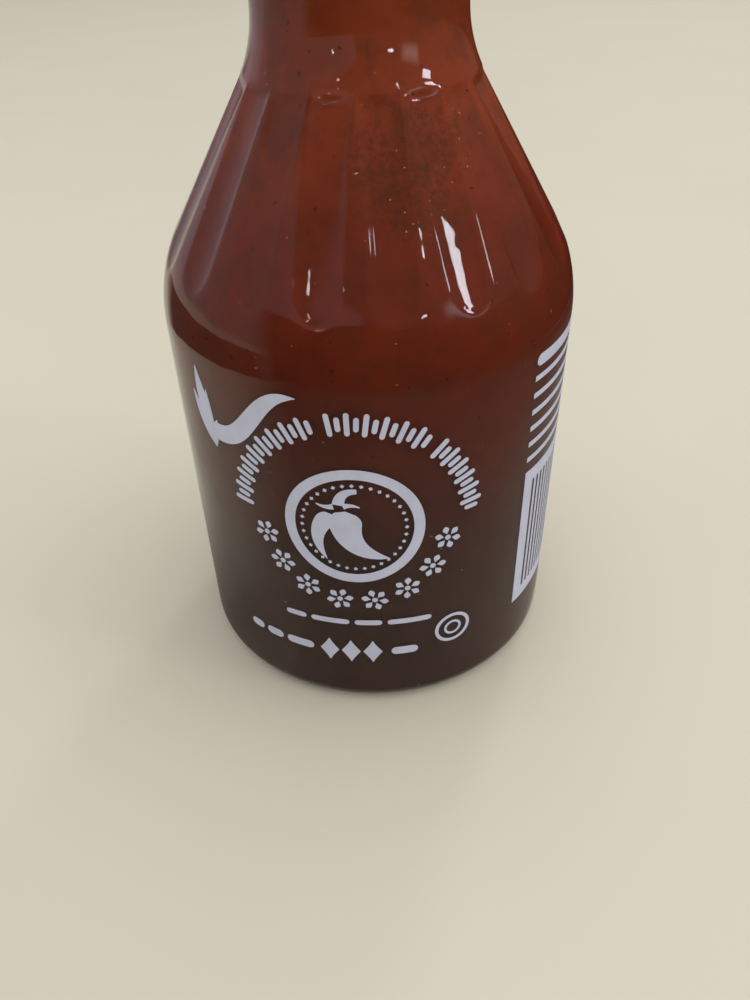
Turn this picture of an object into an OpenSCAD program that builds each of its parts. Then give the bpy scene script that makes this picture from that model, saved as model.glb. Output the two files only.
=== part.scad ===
// Squeeze bottle of hot sauce: a clear fluted bottle, the sauce in it, a screw cap and its nozzle tip.
// Millimetres. The bottle stands on the plane z = 0 with its axis on Z, and its front faces -Y.

/* [Bottle body] */
// Diameter of the straight lower body
body_d = 58; // [48:0.5:70]
// Height of the straight side, up to where the shoulder starts to turn in
body_straight_h = 55.5; // [40:0.5:75]
// Radius of the rounded heel round the base
heel_r = 3; // [2:0.1:5]
// Thickness of the plastic wall
wall = 0.9; // [0.6:0.1:1.4]

/* [Shoulder] */
// Radius of the round turn from the straight side into the shoulder
shoulder_r = 22.5; // [12:0.5:24]
// Angle between the shoulder's straight slope and the bottle's axis, in degrees
shoulder_slope = 31; // [26:1:38]
// Radius of the hollow turn from the shoulder into the neck
neck_blend_r = 15.5; // [8:0.5:20]

/* [Neck] */
// Diameter at the foot of the neck, above the shoulder
neck_foot_d = 26; // [24:0.5:30]
// Angle at which each side of the neck leans in, in degrees
neck_taper = 1.3; // [0.5:0.1:1.5]
// Height of the bottle from its foot to its rim, without the cap
bottle_h = 140; // [132:1:170]

/* [Neck finish] */
// Height of the straight finish that the cap covers
finish_h = 16; // [12:0.5:20]
// Step in from the top of the neck to the finish
finish_step = 0.7; // [0.4:0.05:1.2]
// Thickness of the finish's wall
finish_wall = 1.4; // [1:0.1:1.8]
// Distance that the ring bead under the cap stands out from the neck
bead_reach = 1.7; // [1:0.1:2.2]
// Thickness of the ring bead
bead_h = 1.8; // [1.2:0.1:2.4]

/* [Foot] */
// Width of the flat ring that the bottle stands on
foot_w = 2.2; // [1.6:0.1:4]
// Height of the hollow under the bottle, at its middle
push_up_h = 2.6; // [1.5:0.1:4]

/* [Flutes] */
// Number of flutes round the shoulder
flute_count = 18; // [12:1:20]
// Radius of the scoop that shapes each flute
flute_r = 18; // [15:0.5:22]
// Depth of each flute on the straight slope
flute_depth = 0.35; // [0.25:0.05:0.45]
// Length that each flute runs on above the straight slope
flute_run_up = 0.8; // [0:0.1:1.6]
// Angle of the first flute from the front, in degrees
flute_turn = 7; // [0:1:20]

/* [Sauce] */
// Depth of the air above the sauce, below the bottle's rim
headspace_h = 13; // [6:0.5:30]
// Clearance between the sauce and the inside of the wall
fill_gap = 0.1; // [0.05:0.01:0.2]

/* [Cap] */
// Thickness of the cap's skirt, without its grip ribs
cap_wall = 2.6; // [2:0.1:3.2]
// Gap between the ring bead and the bottom of the skirt
cap_lift = 0.5; // [0.3:0.1:1]
// Clearance between the finish and the inside of the skirt
cap_clearance = 0.3; // [0.2:0.05:0.5]
// Thickness of the cap's top plate
cap_plate = 1.6; // [1.2:0.1:2.4]
// Number of grip ribs on the skirt
rib_count = 44; // [24:4:52]
// Radius of each grip rib
rib_r = 0.5; // [0.3:0.05:0.6]
// Radius of the rounded edge at the top of the skirt
cap_edge_r = 1.6; // [1:0.1:2]
// Height of the hollow-sided cone between the skirt and the spout
flare_h = 8; // [6:0.5:12]
// Diameter of the spout where the nozzle tip sits on it
spout_d = 9.4; // [8:0.1:11]
// Length of the straight part of the spout
spout_h = 4; // [3:0.5:8]

/* [Nozzle tip] */
// Distance that the tip's twist collar stands out from the spout, without its ribs
collar_reach = 1.1; // [0.8:0.1:2]
// Height of the twist collar
collar_h = 7; // [5:0.5:10]
// Number of ribs round the collar
collar_rib_count = 16; // [12:2:20]
// Length of the tapered tip above the collar
tip_h = 11; // [8:0.5:16]
// Radius of each collar rib
collar_rib_r = 0.6; // [0.4:0.05:0.7]
// Step in from the collar's edge to the foot of the taper
tip_step = 2.3; // [1.6:0.1:3]
// Diameter of the rounded end of the tip
tip_end_d = 3.2; // [2.6:0.1:4]

/* [Hidden] */
$fn = 96;

body_r = body_d / 2;
foot_r = body_r - heel_r;
hollow_r = foot_r - foot_w;
// Radius of the ball whose cap is the hollow under the bottle
push_up_r = (hollow_r * hollow_r + push_up_h * push_up_h) / (2 * push_up_h);

// Centre of the shoulder's turn, and the ends of the straight slope on the outside
turn_x = body_r - shoulder_r;
slope_low = [turn_x + shoulder_r * cos(shoulder_slope), body_straight_h + shoulder_r * sin(shoulder_slope)];
neck_foot_r = neck_foot_d / 2;
slope_high_x = neck_foot_r + neck_blend_r * (cos(neck_taper) - cos(shoulder_slope));
slope_high_z = slope_low[1] + (slope_low[0] - slope_high_x) / tan(shoulder_slope);
neck_foot_z = slope_high_z + neck_blend_r * (sin(shoulder_slope) - sin(neck_taper));
blend_centre = [neck_foot_r + neck_blend_r * cos(neck_taper), neck_foot_z + neck_blend_r * sin(neck_taper)];
slope_length = norm([slope_high_x, slope_high_z] - slope_low);

neck_top_z = bottle_h - finish_h - bead_h;
bead_top_z = neck_top_z + bead_h;
sauce_level = bottle_h - headspace_h;
skirt_z = bead_top_z + cap_lift;
cap_top_z = bottle_h + cap_plate;
spout_z = cap_top_z + flare_h;
nozzle_z = spout_z + spout_h;
// Length that a cut runs past the face it goes through
past = 1;
// Straight steps that make up each turn of the outline
heel_steps = 6;
turn_steps = 7;
// Smallest radius that the heel keeps on the inner skin
least_corner_r = 0.5;

// Direction at an angle above the outward radius
function aim(angle) = [cos(angle), sin(angle)];

// Radius of the neck at a height, on a skin that lies a distance inside the outer one
function neck_r(z, inset) = neck_foot_r - (z - neck_foot_z) * tan(neck_taper) - inset / cos(neck_taper);

// Points along a turn about a centre, from one angle to another
function turn(centre, r, from, to, steps) =
    [for (i = [0 : steps]) centre + r * aim(from + (to - from) * i / steps)];

finish_r = neck_r(neck_top_z, 0) - finish_step;
bead_r = neck_r(neck_top_z, 0) + bead_reach;
bore_r = finish_r + cap_clearance;
cap_r = bore_r + cap_wall;
spout_r = spout_d / 2;
collar_r = spout_r + collar_reach;

// Half of the bottle's outline from base_z up to top_z, moved in from the outer skin by inset
module outline(inset, base_z, top_z) {
    corner_r = max(heel_r - inset, least_corner_r);
    corner_centre = [body_r - inset - corner_r, base_z + corner_r];
    polygon(concat(
        [[0, base_z]],
        turn(corner_centre, corner_r, -90, 0, heel_steps),
        turn([turn_x, body_straight_h], shoulder_r - inset, 0, shoulder_slope, turn_steps),
        turn(blend_centre, neck_blend_r + inset, 180 + shoulder_slope, 180 + neck_taper, turn_steps),
        [[neck_r(top_z, inset), top_z], [0, top_z]]
    ));
}

// Scoops that cut the flutes, made larger by the inset of the skin that they cut
module flute_scoops(inset) {
    scoop_r = flute_r + inset;
    axis_point = slope_low + (flute_r - flute_depth) * aim(shoulder_slope);
    below = 2 * shoulder_r * sin(shoulder_slope);
    above = slope_length + flute_run_up;
    for (i = [0 : flute_count - 1])
        rotate([0, 0, flute_turn - 90 + i * 360 / flute_count])
            translate([axis_point[0], 0, axis_point[1]])
                rotate([0, -shoulder_slope, 0])
                    translate([0, 0, -below]) cylinder(h = below + above, r = scoop_r);
}

// Fluted skin of the bottle up to the top of its neck, moved in by inset
module fluted_form(inset, base_z, top_z) {
    difference() {
        rotate_extrude() outline(inset, base_z, top_z);
        flute_scoops(inset);
    }
}

// Dome of the hollow under the bottle, raised by the thickness of what covers it
module push_up(cover) {
    intersection() {
        translate([0, 0, push_up_h - push_up_r]) sphere(r = push_up_r + cover);
        translate([0, 0, cover - past]) cylinder(h = push_up_h + 2 * past, r = body_r);
    }
}

// Space that the sauce and the air above it fill, moved in from the inner skin by gap
module inner_form(gap) {
    inset = wall + gap;
    mouth_r = finish_r - finish_wall - gap;
    difference() {
        union() {
            fluted_form(inset, inset, neck_top_z);
            translate([0, 0, neck_top_z]) cylinder(h = bead_h, r1 = neck_r(neck_top_z, inset), r2 = mouth_r);
            translate([0, 0, bead_top_z]) cylinder(h = finish_h + past, r = mouth_r);
        }
        push_up(inset);
    }
}

module bottle() {
    color([0.85, 0.86, 0.88, 0.35])
        difference() {
            union() {
                fluted_form(0, 0, neck_top_z);
                translate([0, 0, neck_top_z]) cylinder(h = bead_h, r = bead_r);
                translate([0, 0, bead_top_z]) cylinder(h = finish_h, r = finish_r);
            }
            push_up(0);
            inner_form(0);
        }
}

module sauce() {
    color([0.45, 0.13, 0.07])
        intersection() {
            inner_form(fill_gap);
            cylinder(h = sauce_level, r = body_d);
        }
}

module cap() {
    skirt_h = cap_top_z - skirt_z;
    edge_x = cap_r - cap_edge_r;
    rib_h = skirt_h - 2 * cap_edge_r;
    color([0.9, 0.89, 0.86])
        difference() {
            union() {
                rotate_extrude() {
                    translate([0, skirt_z]) square([cap_r, skirt_h - cap_edge_r]);
                    translate([0, cap_top_z - cap_edge_r]) square([edge_x, cap_edge_r]);
                    translate([edge_x, cap_top_z - cap_edge_r]) circle(cap_edge_r);
                    cap_flare(edge_x, spout_r);
                }
                translate([0, 0, spout_z]) cylinder(h = spout_h, r = spout_r);
                for (i = [0 : rib_count - 1])
                    rotate([0, 0, i * 360 / rib_count])
                        translate([cap_r, 0, skirt_z + cap_edge_r / 2]) cylinder(h = rib_h, r = rib_r, $fn = 24);
            }
            translate([0, 0, skirt_z - past]) cylinder(h = bottle_h - skirt_z + past, r = bore_r);
        }
}

// Half outline of the hollow-sided cone that rises from the top of the skirt to the spout
module cap_flare(foot_x, head_x) {
    run = foot_x - head_x;
    sweep_r = (run * run + flare_h * flare_h) / (2 * run);
    difference() {
        polygon([[0, cap_top_z], [foot_x, cap_top_z], [head_x, spout_z], [0, spout_z]]);
        translate([head_x + sweep_r, spout_z]) circle(sweep_r);
    }
}

module nozzle_tip() {
    end_r = tip_end_d / 2;
    tip_z = nozzle_z + collar_h;
    color([0.93, 0.92, 0.89]) {
        translate([0, 0, nozzle_z]) cylinder(h = collar_h, r = collar_r);
        for (i = [0 : collar_rib_count - 1])
            rotate([0, 0, i * 360 / collar_rib_count])
                translate([collar_r, 0, nozzle_z + collar_rib_r])
                    cylinder(h = collar_h - 2 * collar_rib_r, r = collar_rib_r, $fn = 24);
        translate([0, 0, tip_z]) cylinder(h = tip_h - end_r, r1 = collar_r - tip_step, r2 = end_r);
        translate([0, 0, tip_z + tip_h - end_r]) sphere(r = end_r);
    }
}

bottle();
sauce();
cap();
nozzle_tip();
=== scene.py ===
"""Looks of a squeeze bottle of hot sauce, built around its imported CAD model.

The clear fluted wall, the sauce behind it, the screw cap, the nozzle tip and the white print are
smooth meshes with procedural finishes. They stand on a plain pale floor under soft studio lamps.
"""

import math

import bpy
import numpy as np
from bpy.props import FloatProperty, FloatVectorProperty, IntProperty, PointerProperty
from mathutils import Matrix, Vector


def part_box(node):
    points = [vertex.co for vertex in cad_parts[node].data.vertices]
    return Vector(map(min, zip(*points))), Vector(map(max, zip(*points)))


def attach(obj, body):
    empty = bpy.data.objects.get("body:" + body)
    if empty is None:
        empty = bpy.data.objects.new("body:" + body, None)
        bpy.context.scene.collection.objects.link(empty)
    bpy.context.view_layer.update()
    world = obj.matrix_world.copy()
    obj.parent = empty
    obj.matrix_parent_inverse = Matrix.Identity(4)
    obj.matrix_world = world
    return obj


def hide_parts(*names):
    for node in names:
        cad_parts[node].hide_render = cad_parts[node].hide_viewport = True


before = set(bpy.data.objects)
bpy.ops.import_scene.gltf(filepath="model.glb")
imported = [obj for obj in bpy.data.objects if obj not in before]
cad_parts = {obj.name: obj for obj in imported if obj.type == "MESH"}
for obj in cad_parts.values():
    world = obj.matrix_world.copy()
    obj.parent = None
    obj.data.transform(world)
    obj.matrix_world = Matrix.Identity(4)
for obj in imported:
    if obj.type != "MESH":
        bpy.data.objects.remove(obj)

bl_info = {
    "name": "Hot Sauce Bottle",
    "version": (1, 0, 0),
    "blender": (4, 5, 0),
    "location": "3D View > Sidebar > Sauce Bottle",
    "description": "Builds a clear squeeze bottle of hot sauce with its cap, tip and print",
    "category": "Add Mesh",
}

MM = 0.001
TURN = 2 * math.pi
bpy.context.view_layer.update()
BOTTLE_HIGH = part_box("bottle")[1]
SAUCE_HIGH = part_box("sauce")[1]
CAP_LOW, CAP_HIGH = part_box("cap")
TIP_LOW, TIP_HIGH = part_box("nozzle_tip")


# ---------------------------------------------------------------- sizes and colours

def length(name, description, millimetres):
    return FloatProperty(name=name, description=description, default=millimetres * MM, unit="LENGTH")


def angle(name, description, degrees):
    return FloatProperty(
        name=name, description=description, default=math.radians(degrees), subtype="ANGLE"
    )


def colour(name, description, default):
    return FloatVectorProperty(
        name=name, description=description, default=default, subtype="COLOR", min=0, max=1
    )


def count(name, description, default):
    return IntProperty(name=name, description=description, default=default, min=1)


def amount(name, description, default):
    return FloatProperty(name=name, description=description, default=default, min=0)


class BottleSizes(bpy.types.PropertyGroup):
    """Sizes of the bottle's wall, in the CAD model's own terms."""

    body_r: length("Body radius", "Radius of the straight lower body", BOTTLE_HIGH.x / MM)
    straight_h: length("Straight height", "Height of the straight side", 55.5)
    heel_r: length("Heel", "Radius of the rounded heel", 3)
    foot_w: length("Foot ring", "Width of the flat ring under the bottle", 2.2)
    push_up_h: length("Push-up", "Height of the hollow under the bottle", 2.6)
    wall: length("Wall", "Thickness of the clear wall", 0.9)
    shoulder_r: length("Shoulder turn", "Radius of the turn into the shoulder", 22.5)
    slope: angle("Shoulder slope", "Angle between the shoulder and the axis", 31)
    blend_r: length("Neck turn", "Radius of the hollow turn into the neck", 15.5)
    neck_r: length("Neck foot", "Radius of the neck above the shoulder", 13)
    taper: angle("Neck taper", "Angle at which the neck leans in", 1.3)
    finish_h: length("Finish", "Height of the neck finish inside the cap", 16)
    finish_step: length("Finish step", "Step in from the neck to the finish", 0.7)
    finish_wall: length("Finish wall", "Thickness of the finish", 1.4)
    bead_reach: length("Bead reach", "Distance that the bead stands out", 1.7)
    bead_h: length("Bead height", "Thickness of the bead under the cap", 1.8)
    flute_count: count("Flutes", "Number of flutes round the shoulder", 18)
    flute_r: length("Flute radius", "Radius of the scoop that shapes a flute", 18)
    flute_depth: length("Flute depth", "Depth of a flute on the slope", 0.35)
    flute_run_up: length("Flute run", "Length of a flute above the slope", 0.8)
    flute_step: length("Flute step", "Depth of the bevel round each flute", 0.12)
    flute_end: length("Flute end", "Length over which a flute's upper end rises", 1.0)
    flute_turn: angle("First flute", "Angle of the first flute from the front", 7)
    flute_edge: length("Flute edge", "Softness of the flutes' edges", 0.04)
    sauce_reach: length("Sauce reach", "Distance that the sauce reaches into the wall", 0.15)


class ClosureSizes(bpy.types.PropertyGroup):
    """Sizes of the screw cap and of the nozzle tip on it."""

    skirt_wall: length("Skirt wall", "Thickness of the cap's skirt", 2.6)
    plate: length("Plate", "Thickness of the cap's top plate", 1.6)
    edge_r: length("Cap edge", "Radius of the edge at the top of the skirt", 1.6)
    rib_r: length("Cap rib", "Radius of a grip rib", 0.5)
    rib_count: count("Cap ribs", "Number of grip ribs on the skirt", 44)
    flare_h: length("Flare", "Height of the hollow-sided cone", 8)
    spout_r: length("Spout", "Radius of the spout under the tip", 4.7)
    soft_r: length("Soft edge", "Radius of the small moulded edges", 0.3)
    collar_h: length("Collar", "Height of the tip's twist collar", 7)
    collar_rib_r: length("Collar rib", "Radius of a rib on the collar", 0.6)
    collar_rib_count: count("Collar ribs", "Number of ribs round the collar", 16)
    tip_step: length("Tip step", "Step in from the collar to the taper", 2.3)
    tip_end_r: length("Tip end", "Radius of the rounded end of the tip", 1.6)


class PrintSizes(bpy.types.PropertyGroup):
    """Sizes and places of the white print on the straight side."""

    ink: length("Ink", "Height that the ink stands out from the wall", 0.03)
    emblem_turn: angle("Emblem place", "Angle of the emblem from the front", -5.8)
    emblem_z: length("Emblem height", "Height of the emblem's centre", 35.5)
    ring_r: length("Emblem ring", "Outer radius of the emblem's ring", 9.6)
    band_r: length("Stroke band", "Middle radius of the band of strokes", 16.3)
    band_w: length("Stroke length", "Length of the strokes in the band", 3.3)
    flower_arc_r: length("Flower arc", "Radius of the arc of flowers", 13.3)
    panel_turn: angle("Panel place", "Angle of the side panel's near edge", 47)


class Colours(bpy.types.PropertyGroup):
    """Colours of the sauce, the print, the plastics and the studio, with painted shade and light in the
    sauce and the studio's shade cards.
    """

    # Painted shade: the sauce's colour at the foot is darkened for the little light that reaches the
    # lower body.
    sauce_low_painted_shade: colour("Sauce, low", "Sauce in the thick lower body", (0.062, 0.016, 0.009))
    sauce_mid: colour("Sauce, middle", "Sauce behind the shoulder", (0.185, 0.026, 0.008))
    # Painted light: the sauce's colour up the neck is brightened for light that glows through it from
    # behind.
    sauce_high_painted_glow: colour("Sauce, high", "Sauce in the thin neck", (0.315, 0.056, 0.015))
    chilli: colour("Chilli", "Dark bits of chilli skin", (0.045, 0.010, 0.006))
    spice: colour("Spice", "Brown clouds of ground spice in the sauce", (0.085, 0.027, 0.010))
    # Painted highlight: pale specks for the glints of light on tiny bubbles.
    bubble_glint: colour("Bubble", "Tiny air bubbles against the wall", (0.85, 0.52, 0.42))
    seed: colour("Seed", "Pale bits of chilli seed", (0.42, 0.20, 0.07))
    wall: colour("Wall", "Clear plastic of the wall", (0.985, 0.98, 0.975))
    haze: colour("Haze", "Cloudy patches in the wall", (0.95, 0.94, 0.935))
    ink: colour("Ink", "White screen-printed ink", (0.68, 0.71, 0.92))
    cap: colour("Cap", "Moulded plastic of the cap and tip", (0.80, 0.785, 0.74))
    floor: colour("Floor", "Plain pale floor", (0.68, 0.64, 0.53))
    backdrop: colour("Backdrop", "Surroundings that the camera sees", (0.80, 0.79, 0.75))
    # Painted shade: colour of the cards and gauzes that darken the bottle's reflections.
    card: colour("Card", "Black card and gauze round the bottle", (0.012, 0.012, 0.014))


class StudioSettings(bpy.types.PropertyGroup):
    """Camera and light."""

    lens: amount("Lens", "Focal length in millimetres on a 36 mm long side", 29.22)
    camera_back: length("Camera distance", "Distance from the axis to the camera", 111.58)
    camera_z: length("Camera height", "Height of the camera", 104.21)
    camera_down: angle("Camera tilt", "Angle that the camera looks down", 37.70)
    camera_roll: angle("Camera roll", "Roll of the camera", -1.803)
    overhead: amount("Overhead light", "Strength of the soft light from above", 1.9)
    air: amount("Surrounding light", "Strength of the even light all round", 0.30)
    gloom: amount("Dark surroundings", "Strength of what the gloss reflects all round", 0.09)
    backdrop: amount("Backdrop", "Strength of what the camera sees all round", 0.85)
    fill: amount("Right fill", "Strength of the soft light from the right", 1.0)
    aim_z: length("Lamp aim", "Height on the axis that the lamps look at", 70)


GROUPS = {
    "sauce_bottle_sizes": BottleSizes,
    "sauce_bottle_closure": ClosureSizes,
    "sauce_bottle_print": PrintSizes,
    "sauce_bottle_colours": Colours,
    "sauce_bottle_studio": StudioSettings,
}


# ---------------------------------------------------------------- outlines

def aim(turned_by):
    """Direction at an angle above the outward radius, as radius and height."""
    return np.array([math.cos(turned_by), math.sin(turned_by)])


def rounded(corners, step):
    """Outline through corners of (radius, height, fillet), with each fillet as an arc of short steps."""
    places = [np.array(corner[:2], float) for corner in corners]
    points = [places[0]]
    for before, corner, after, fillet in zip(
        places, places[1:], places[2:], [corner[2] for corner in corners[1:]]
    ):
        back = (before - corner) / np.linalg.norm(before - corner)
        ahead = (after - corner) / np.linalg.norm(after - corner)
        half = math.acos(np.clip(back @ ahead, -1, 1)) / 2
        if fillet == 0 or math.pi / 2 - half < 0.001:
            points.append(corner)
            continue
        bisector = (back + ahead) / np.linalg.norm(back + ahead)
        centre = corner + bisector * fillet / math.sin(half)
        sweep = math.pi / 2 - half
        steps = max(4, math.ceil(2 * sweep * fillet / step))
        side = ahead - bisector * (ahead @ bisector)
        side = side / np.linalg.norm(side)
        for i in range(steps + 1):
            swing = sweep * (2 * i / steps - 1)
            points.append(centre + fillet * (math.sin(swing) * side - math.cos(swing) * bisector))
    points.append(places[-1])
    return points


def divided(points, step, low=-1.0, high=1.0):
    """The outline with its straight spans cut into short steps, between two heights."""
    out = [points[0]]
    for before, after in zip(points, points[1:]):
        span = np.linalg.norm(after - before)
        middle = (before[1] + after[1]) / 2
        pieces = max(1, math.ceil(span / step)) if low <= middle <= high else 1
        out += [before + (after - before) * i / pieces for i in range(1, pieces + 1)]
    return out


def outward(points):
    """Unit normals of an outline that runs up its outer side."""
    tangent = np.gradient(points, axis=0)
    normal = np.stack([tangent[:, 1], -tangent[:, 0]], axis=1)
    return normal / np.maximum(np.linalg.norm(normal, axis=1, keepdims=True), 1e-12)


def neck_radius(size, z):
    """Outer radius of the neck at a height. It leans in above its foot."""
    return size.neck_r - (z - neck_foot(size)) * math.tan(size.taper)


def slope_start(size):
    """Point where the shoulder's turn ends and its straight slope begins."""
    centre = np.array([size.body_r - size.shoulder_r, size.straight_h])
    return centre + size.shoulder_r * aim(size.slope)


def slope_end(size):
    """Point where the straight slope ends and the turn into the neck begins."""
    low = slope_start(size)
    x = size.neck_r + size.blend_r * (math.cos(size.taper) - math.cos(size.slope))
    return np.array([x, low[1] + (low[0] - x) / math.tan(size.slope)])


def neck_foot(size):
    """Height at which the straight neck begins."""
    return slope_end(size)[1] + size.blend_r * (math.sin(size.slope) - math.sin(size.taper))


def neck_top(size):
    """Height at which the neck meets the bead under the cap."""
    return BOTTLE_HIGH.z - size.finish_h - size.bead_h


def body_outline(size):
    """Outer outline from the middle of the hollow under the bottle up to the top of the neck."""
    foot_r = size.body_r - size.heel_r
    hollow_r = foot_r - size.foot_w
    dome_r = (hollow_r**2 + size.push_up_h**2) / (2 * size.push_up_h)
    dome_steps = 14
    reach = math.asin(hollow_r / dome_r)
    dome = [
        np.array([dome_r * math.sin(t), size.push_up_h - dome_r + dome_r * math.cos(t)])
        for t in np.linspace(0, reach, dome_steps)
    ]
    run_in = size.shoulder_r * math.tan(size.slope / 2)
    run_out = size.blend_r * math.tan((size.slope - size.taper) / 2)
    shoulder_corner = (size.body_r, size.straight_h + run_in, size.shoulder_r)
    end = slope_end(size)
    neck_corner = end + run_out * np.array([-math.sin(size.slope), math.cos(size.slope)])
    fine = 0.45 * MM
    coarse = 4 * MM
    upper = rounded(
        [
            (hollow_r, 0, 0),
            (size.body_r, 0, size.heel_r),
            shoulder_corner,
            (*neck_corner, size.blend_r),
            (neck_radius(size, neck_top(size)), neck_top(size), 0),
        ],
        fine,
    )
    upper = divided(upper, fine, size.straight_h, neck_foot(size))
    return np.array(dome[:-1] + divided(upper, coarse))


# ---------------------------------------------------------------- turned meshes

class Skin:
    """Rows of points round the Z axis, from one end on the axis towards the other."""

    def __init__(self, columns):
        self.columns = columns
        self.turns = np.arange(columns) * TURN / columns
        self.rows = []

    def add(self, outline, normals=None, depths=None, turns=None):
        """Adds an outline, pushed in along its normals by the depths of each point round the axis."""
        turns = self.turns if turns is None else turns
        outline = np.asarray(outline, float)
        radius = np.repeat(outline[:, :1], self.columns, axis=1)
        height = np.repeat(outline[:, 1:], self.columns, axis=1)
        if depths is not None:
            radius = radius - normals[:, :1] * depths
            height = height - normals[:, 1:] * depths
        x = radius * np.sin(turns)
        y = -radius * np.cos(turns)
        self.rows += list(np.stack([x, y, height], axis=2))

    def add_reversed(self, other):
        self.rows += other.rows[::-1]

    def piece(self, name, sharp=math.radians(50)):
        """A closed mesh object, with its first and last rows drawn together on the axis."""
        rings = self.rows[1:-1]
        start = self.rows[0].mean(axis=0)
        end = self.rows[-1].mean(axis=0)
        points = np.concatenate([start[None], *rings, end[None]])
        n = self.columns
        near = np.arange(n)
        far = (near + 1) % n
        lows = 1 + np.arange(len(rings) - 1)[:, None] * n
        quads = np.stack([lows + near, lows + far, lows + n + far, lows + n + near], axis=2)
        top = 1 + (len(rings) - 1) * n
        last = len(points) - 1
        fans = [(0, int(b) + 1, int(a) + 1) for a, b in zip(near, far)]
        fans += [(last, top + int(a), top + int(b)) for a, b in zip(near, far)]
        return add_piece(name, points, quads.reshape(-1, 4).tolist() + fans, sharp)


def add_piece(name, points, faces, sharp=math.radians(50)):
    """Adds a smooth mesh object, sharp only where its faces meet at more than an angle."""
    mesh = bpy.data.meshes.new(name)
    mesh.from_pydata([tuple(p) for p in np.asarray(points).tolist()], [], faces)
    mesh.validate()
    mesh.shade_smooth()
    mesh.set_sharp_from_angle(angle=sharp)
    piece = bpy.data.objects.new(name, mesh)
    bpy.context.scene.collection.objects.link(piece)
    return piece


def fluted_turns(size, outline, turns):
    """The even turns of a skin's columns, shifted so that some columns run along the flutes' edges."""
    half = math.pi / size.flute_count
    even = (turns - size.flute_turn + half) % (2 * half) - half
    radius = np.maximum(outline[:, :1], size.wall)
    half_w = np.sqrt(2 * size.flute_depth / (1 / size.flute_r + math.cos(size.slope) / radius))
    most = 0.9 * half
    edge = np.minimum(half_w / radius, most)
    share = np.abs(even) / half
    inside = np.clip(2 * share, 0, 1)
    outside = np.clip(2 * share - 1, 0, 1)
    return turns - even + np.sign(even) * (edge * inside + (half - edge) * outside)


def flute_depths(size, outline, normals, inset, turns):
    """How deep the flutes push each point of a skin that lies inset from the outer one."""
    pitch = TURN / size.flute_count
    aside = (turns - size.flute_turn + pitch / 2) % pitch - pitch / 2
    across = np.cos(aside)
    along_ring = np.sin(aside)
    x = outline[:, :1] * across
    y = outline[:, :1] * along_ring
    z = outline[:, 1:]
    lift = size.flute_r - size.flute_depth
    start = slope_start(size) + lift * aim(size.slope)
    lean = np.array([-math.sin(size.slope), math.cos(size.slope)])
    below = 2 * size.shoulder_r * math.sin(size.slope)
    above = np.linalg.norm(slope_end(size) - slope_start(size)) + size.flute_run_up
    run = np.clip((x - start[0]) * lean[0] + (z - start[1]) * lean[1], -below, None)
    end = np.clip((above - run) / size.flute_end, 0, 1)
    dx = x - start[0] - run * lean[0]
    dz = z - start[1] - run * lean[1]
    gap = np.sqrt(dx**2 + y**2 + dz**2)
    facing = -(normals[:, :1] * across * dx + normals[:, :1] * along_ring * y + normals[:, 1:] * dz)
    least_facing = 0.3
    bevel = 0.8 * size.flute_step
    cut = (size.flute_r + inset - gap) / np.maximum(facing / gap, least_facing)
    step = np.clip(cut / size.flute_step, 0, 1) * bevel
    soft_cut = (cut + np.sqrt(cut**2 + size.flute_edge**2)) / 2
    return (soft_cut + step) * end * end * (3 - 2 * end)


def fluted_skin(size, inset, columns):
    """Skin of the bottle up to the top of its neck, moved in by inset, with its flutes."""
    outer = body_outline(size)
    normals = outward(outer)
    normals[0] = (0, -1)
    outline = outer - inset * normals
    outline[0, 0] = 0
    skin = Skin(columns)
    turns = fluted_turns(size, outline, skin.turns)
    skin.add(outline, normals, flute_depths(size, outline, normals, inset, turns), turns)
    return skin


# ---------------------------------------------------------------- finishes

class Wire:
    """An output socket that takes Python's operators, each of which adds a Math node."""

    def __init__(self, sheet, socket):
        self.sheet = sheet
        self.socket = socket

    def math(self, operation, *others):
        inputs = dict(enumerate((self, *others)))
        return self.sheet.add("Math", {"operation": operation}, inputs)

    def __add__(self, other):
        return self.math("ADD", other)

    __radd__ = __add__

    def __mul__(self, other):
        return self.math("MULTIPLY", other)

    __rmul__ = __mul__

    def __sub__(self, other):
        return self.math("SUBTRACT", other)

    def __rsub__(self, other):
        return self.sheet.add("Math", {"operation": "SUBTRACT"}, {0: other, 1: self})

    def __pow__(self, other):
        return self.math("POWER", other)

    def over(self, low, high):
        """0 below low and 1 above high, with a smooth rise between them."""
        settings = {"interpolation_type": "SMOOTHSTEP"}
        return self.sheet.add("MapRange", settings, {"Value": self, 1: low, 2: high})


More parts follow.
